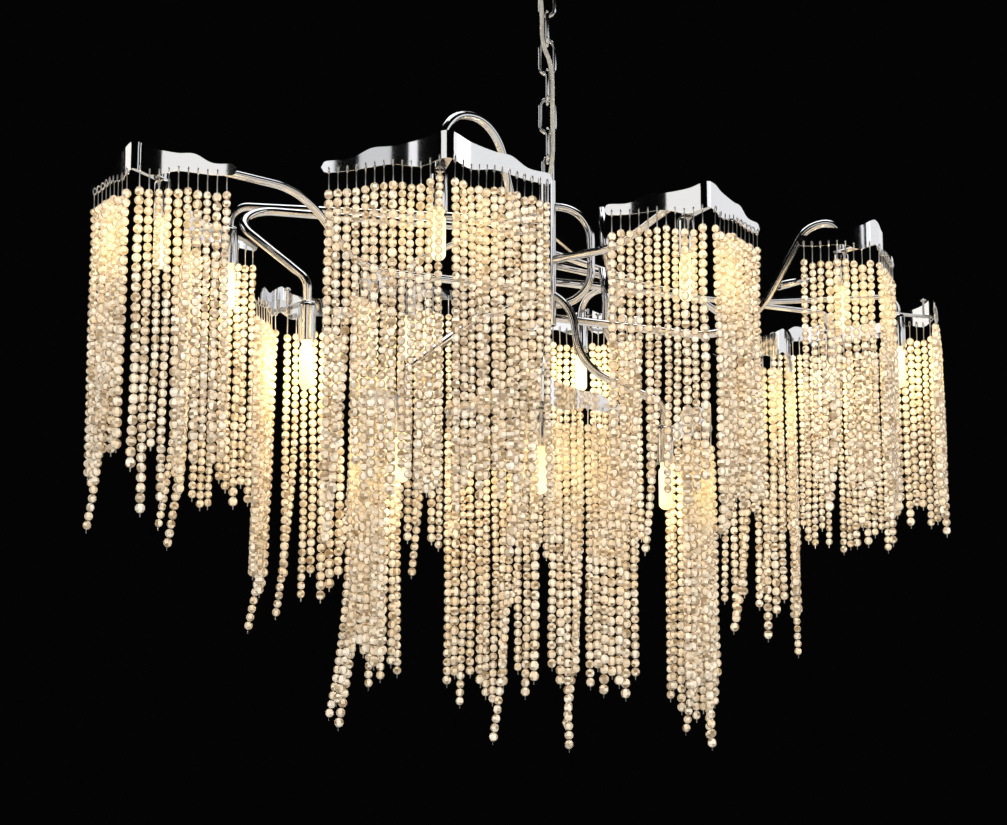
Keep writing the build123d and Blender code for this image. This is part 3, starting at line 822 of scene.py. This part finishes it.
for number, ((name, side), ends) in enumerate(strandsOf.items()):
    label = name + "_" + sideNames[side]
    draw = Random(number + beadSettings["firstSeed"])
    out = wingOut(name, side)
    apex = shadePoint(name, 0, 0, 0) * mm
    apex.z = ends[0][0].z
    lengths = sorted(hook.z - tip.z for hook, tip in ends)
    longFrom = lengths[len(lengths) // 2] + beadSettings["longerBy"] * mm
    centres = []
    sizes = []
    wires = []
    for order, (hook, tip) in enumerate(ends):
        isLong = hook.z - tip.z > longFrom
        size = draw.choice(beadSettings["sizes"])
        standOff = out * beadSettings["stagger"] * (1 if order % 2 else -1)
        stray = Vector((draw.uniform(-1, 1), draw.uniform(-1, 1), 0)) * beadSettings["sway"]
        if isLong:
            stray += draught * beadSettings["tailLean"] * draw.uniform(*beadSettings["leanShare"])
        if (hook - apex).length < beadSettings["cornerReach"] * mm:
            # room for the other wing's curtain as both swing in
            standOff = out * beadSettings["cornerGap"]
            lean = beadSettings["cornerLean"] if isLong and draught.dot(out) > 0 else 0
            stray = standOff + draught * beadSettings["tailLean"] * lean
        curl = draw.uniform(0, fullTurn)
        top = hook.z / mm - beadSettings["hookDrop"] - draw.uniform(*beadSettings["hookSpread"])
        strand = {"hook": hook, "size": size, "standOff": standOff, "stray": stray, "curl": curl,
                  "top": top, "foot": tip.z / mm + beadSettings["pin"]}
        strandCentres, strandSizes, lastHeight = beadColumn(strand)
        centres += strandCentres
        sizes += strandSizes
        wires.append(hookLine(strand, out, lastHeight))
    curtain = newObject("crystal_" + label, centres, [], [])
    sizeData = curtain.data.attributes.new("beadSize", "FLOAT", "POINT")
    sizeData.data.foreach_set("value", sizes)
    lamp = shadePoint(name, lampSettings["fromApex"], 0, lampSettings["glowLevel"]) * mm
    runTree(curtain, threadBeads, {"Lamp": lamp, "Glow reach": beadSettings["paintedGlowReach"] * mm,
                                   "Seed": number, "Material": cutCrystal})
    place(curtain, "curtain_" + label, "cut_crystal", "strands_" + label)
    hooks = wire("hooks_" + label, wires, hookSettings["radius"], hookSettings["sides"], steelWire)
    place(hooks, "curtain_" + label, "polished_steel")


print("branches")
tubeSettings = {
    "radius": 5.0,
    "wall": 1.2,
    "sides": 18,
    "intoStem": 0.8,         # how far the tube's end stands inside the stem's face
    "bend": 105.0,
    "neckShare": 0.85,       # the last bend takes this much of the drop to the lamp
    "twigBend": 60.0,
}
# start below the stem's rim, height over the lamp's base line, and the corners on the way, each with its
# depth below the rim
routes = {
    "a": (138, 35, [(-235, 74, 138), (-318, 78, 58)]),
    "b": (50, 35, [(-180, 120, 50)]),
    "d": (80, 78, [(-150, -95, 84), (-196, -121, -6)]),
    "h": (101, 35, [(22, -92, 98)]),
    "i": (62, 46, [(180, 120, 45), (322, 190, 45)]),
    "k": (171, 48, [(196, -142, 194), (258, -192, 48)]),
    "l": (88, 35, [(300, 60, 84)]),
    "m": (126, 35, [(310, -45, 110)]),
    "n": (38, 35, [(0, 140, 42)]),
    "c": (66, 35, [(-322, 158, 66), (-356, 150, 90)]),
    "e": (148, 35, [(-120, -8, 190)]),
    "f": (160, 35, [(-30, -24, 240)]),
    "g": (140, 35, [(14, -28, 160), (14, -40, 236)]),
    "j": (104, 35, [(250, -10, 104)]),
}
hoopCorners = [(0, 0, 33), (38, -36, 33), (38, -36, 155), (0, 0, 155)]
twigCorners = [
    [(23, -70, 44), (26, -72, 92), (37, -82, 165)],
    [(61, -33, 106), (64, -36, 146), (63, -35, 198), (80, -50, 202)],
    [(328, -129, 92), (290, -170, 104), (232, -168, 124)],
]


def belowRim(x, y, below):
    return Vector((x, y, levels["stemTop"] - below))


def fromStemWall(corners, both=False):
    # the tube starts on the stem's wall and not on its middle line
    reach = stemSettings["radius"] - tubeSettings["intoStem"]
    start = corners[0] + (corners[1] - corners[0]).normalized() * reach
    corners = [start] + corners[1:]
    if both:
        corners = fromStemWall(corners[::-1])[::-1]
    return corners


def inMetres(lines):
    return [[point * mm for point in line] for line in lines]


tubeLines = []
for name, (start, over, via) in routes.items():
    corners = [belowRim(0, 0, start)] + [belowRim(*v) for v in via]
    corners.append(shadePoint(name, lampSettings["fromApex"], 0, over))
    corners.append(shadePoint(name, lampSettings["fromApex"], 0, lampSettings["strapLevel"]))
    neck = tubeSettings["neckShare"] * (over - lampSettings["strapLevel"])
    limits = [tubeSettings["bend"]] * len(via) + [neck]
    tubeLines.append(roundBends(fromStemWall(corners), limits))
hoopLine = [belowRim(*c) for c in hoopCorners]
tubeLines.append(roundBends(fromStemWall(hoopLine, both=True), [tubeSettings["bend"]] * (len(hoopLine) - 2)))
tubes = wire("branchTubes", inMetres(tubeLines), tubeSettings["radius"], tubeSettings["sides"], chromePlate)
place(tubes, "fixture", "chrome_steel", "upper_branches", "lower_branches")

# short decorative tubes with open ends
twigLines = [roundBends([belowRim(*c) for c in line], [tubeSettings["twigBend"]] * (len(line) - 2))
             for line in twigCorners]
twigs = linesObject("twigTubes", inMetres(twigLines))
runTree(twigs, followLine, {"Radius": tubeSettings["radius"] * mm, "Sides": tubeSettings["sides"],
                            "Closed ends": False, "Material": chromePlate})
outward(twigs)
wall = twigs.modifiers.new("wall", "SOLIDIFY")
wall.thickness = tubeSettings["wall"] * mm
wall.offset = -1
smooth(twigs, angle=50)
place(twigs, "fixture", "chrome_steel", "twig_tubes")


print("lamps")
# profiles are radius and height over the shade's base line
lampPlaces = [shadePoint(name, lampSettings["fromApex"], 0, 0) for name in shades]
holderSettings = {
    "segments": 28,
    "profile": [(8.6, -37), (10, -37), (10, 3), (9.6, 5.2), (8.4, 7), (6.6, 7.8), (5.2, 8), (5.2, 4),
                (8.6, 2)],
}
holders = turned("lampholders", holderSettings["profile"], lampPlaces, chromePlate,
                 holderSettings["segments"])
place(holders, "fixture", "chrome_steel", "lampholders")

socketSettings = {
    "segments": 20,
    "profile": [(0, -32), (2.2, -32), (2.2, -30.5), (4.6, -30.5), (4.6, -32), (7.6, -32), (8.1, -31),
                (8.1, -18), (0, -18)],
}
sockets = turned("lampSockets", socketSettings["profile"], lampPlaces, steatite, socketSettings["segments"])
place(sockets, "fixture", "socket_ceramic", "lamp_sockets")

bulbSettings = {
    "segments": 24,
    "foot": -92.0,
    "tipHigh": 7.0,
    "tipSteps": 7,
    "radius": 7.9,
    "shoulder": -46.0,
    "waist": (7.2, -44.0),
    "neck": 5.6,
    "neckFoot": -42.5,
    "top": -32.0,
    "glowHalf": 26.0,        # the glass is palest at the glow level and amber this far from it
}
glassLine = [(0, bulbSettings["foot"])]
for step in range(1, bulbSettings["tipSteps"] + 1):
    swing = pi / 2 * step / bulbSettings["tipSteps"]
    glassLine.append((bulbSettings["radius"] * sin(swing),
                      bulbSettings["foot"] + bulbSettings["tipHigh"] * (1 - cos(swing))))
glassLine += [(bulbSettings["radius"], bulbSettings["shoulder"]), bulbSettings["waist"],
              (bulbSettings["neck"], bulbSettings["neckFoot"]), (bulbSettings["neck"], bulbSettings["top"]),
              (0, bulbSettings["top"])]
bulbs = turned("lampGlass", glassLine, lampPlaces, opalGlass, bulbSettings["segments"], angle=60)
heights = bulbs.data.attributes.new("glassHeight", "FLOAT", "POINT")
lampMiddle = (bulbSettings["foot"] + bulbSettings["top"]) / 2
for vertex, value in zip(bulbs.data.vertices, heights.data):
    height = vertex.co.z / mm
    base = min((p.z for p in lampPlaces), key=lambda b: abs(height - b - lampMiddle))
    value.value = max(0.0, 1 - abs(height - base - lampSettings["glowLevel"]) / bulbSettings["glowHalf"])
place(bulbs, "fixture", "lit_glass", "bulbs")

knobSettings = {
    "segments": 18,
    "fromApex": 20.0,
    "profile": [(0, 9.6), (1.5, 9.6), (1.5, 29.4), (3.4, 29.5), (4, 30.3), (4, 31.4), (3.2, 32.3), (0, 32.5)],
}
knobPlaces = [shadePoint(name, knobSettings["fromApex"], 0, 0) for name in shades]
knobs = turned("knobScrews", knobSettings["profile"], knobPlaces, chromePlate, knobSettings["segments"])
place(knobs, "fixture", "chrome_steel", "knob_screws")


print("light")
floorSettings = {"level": -1.9, "half": 6.0}
floorCorners = [(x * floorSettings["half"], y * floorSettings["half"], floorSettings["level"])
                for x, y in ((-1, -1), (1, -1), (1, 1), (-1, 1))]
floor = newObject("floor", floorCorners, [], [(0, 1, 2, 3)])
floor.data.materials.append(floorPaint)

lightSettings = {
    # place, width, height, watts, colour; the first six are what the ribbons mirror
    "rightBox": ((1.97, -1.38, 0.1), 3.8, 1.0, 12.5, "#FFFFFF"),
    "middleBox": ((0.45, -2.8, 0.3), 0.9, 1.0, 3.6, "#FFFFFF"),
    "frontBox": ((-2.3, -2.5, 0.35), 1.3, 1.0, 4.6, "#FFFDF8"),
    "leftStrip": ((-2.55, -0.4, 0.1), 0.2, 1.2, 0.6, "#FFFFFF"),
    "endStrip": ((-2.48, -0.79, 0.1), 0.12, 1.2, 0.55, "#FFFFFF"),
    "backBox": ((-1.7, 1.3, 0.2), 1.2, 1.0, 5.0, "#FFFAF2"),
    "topBox": ((0.2, 0.1, 1.6), 2.0, 1.4, 20.0, "#FFFFFF"),
}
aimPoint = Vector((0.0, 0.0, -0.62))
for name, (spot, width, height, watts, tint) in lightSettings.items():
    light = bpy.data.lights.new(name, "AREA")
    light.shape = "RECTANGLE"
    light.size = width
    light.size_y = height
    light.energy = watts
    light.color = hexColor(tint)[:3]
    lamp = bpy.data.objects.new(name, light)
    lamp.location = spot
    lamp.rotation_euler = (aimPoint - Vector(spot)).to_track_quat("-Z", "Y").to_euler()
    lamp.visible_camera = False
    bpy.context.scene.collection.objects.link(lamp)

# the lamps' own light on the beads round them
glowSettings = {"watts": 0.4, "color": "#FFE9BE", "radius": 0.006}
for name in shades:
    light = bpy.data.lights.new("glow_" + name, "POINT")
    light.energy = glowSettings["watts"]
    light.color = hexColor(glowSettings["color"])[:3]
    light.shadow_soft_size = glowSettings["radius"]
    light.use_shadow = False     # it stands inside the lamp's glass
    lamp = bpy.data.objects.new("glow_" + name, light)
    lamp.location = shadePoint(name, lampSettings["fromApex"], 0, lampSettings["glowLevel"]) * mm
    bpy.context.scene.collection.objects.link(lamp)

# soft light all round, while the camera, mirrors and glass see near black behind the object
worldSettings = {"soft": "#FFFAF2", "strength": 1.8, "seen": "#040404"}
world = bpy.data.worlds.new("studio")
bpy.context.scene.world = world
world.use_nodes = True
tree = world.node_tree
tree.nodes.clear()
rays = addNode(tree, "ShaderNodeLightPath")
seen = addNode(tree, "ShaderNodeMath",
               {0: rays.outputs["Is Camera Ray"], 1: rays.outputs["Is Glossy Ray"]}, operation="MAXIMUM")
seen = addNode(tree, "ShaderNodeMath",
               {0: seen.outputs[0], 1: rays.outputs["Is Transmission Ray"]}, operation="MAXIMUM")
soft = addNode(tree, "ShaderNodeBackground",
               {"Color": hexColor(worldSettings["soft"]), "Strength": worldSettings["strength"]})
dark = addNode(tree, "ShaderNodeBackground", {"Color": hexColor(worldSettings["seen"]), "Strength": 1.0})
both = addNode(tree, "ShaderNodeMixShader", {0: seen.outputs[0], 1: soft.outputs[0], 2: dark.outputs[0]})
addNode(tree, "ShaderNodeOutputWorld", {"Surface": both.outputs[0]})
bpy.context.scene.view_settings.view_transform = "Standard"

print("done")
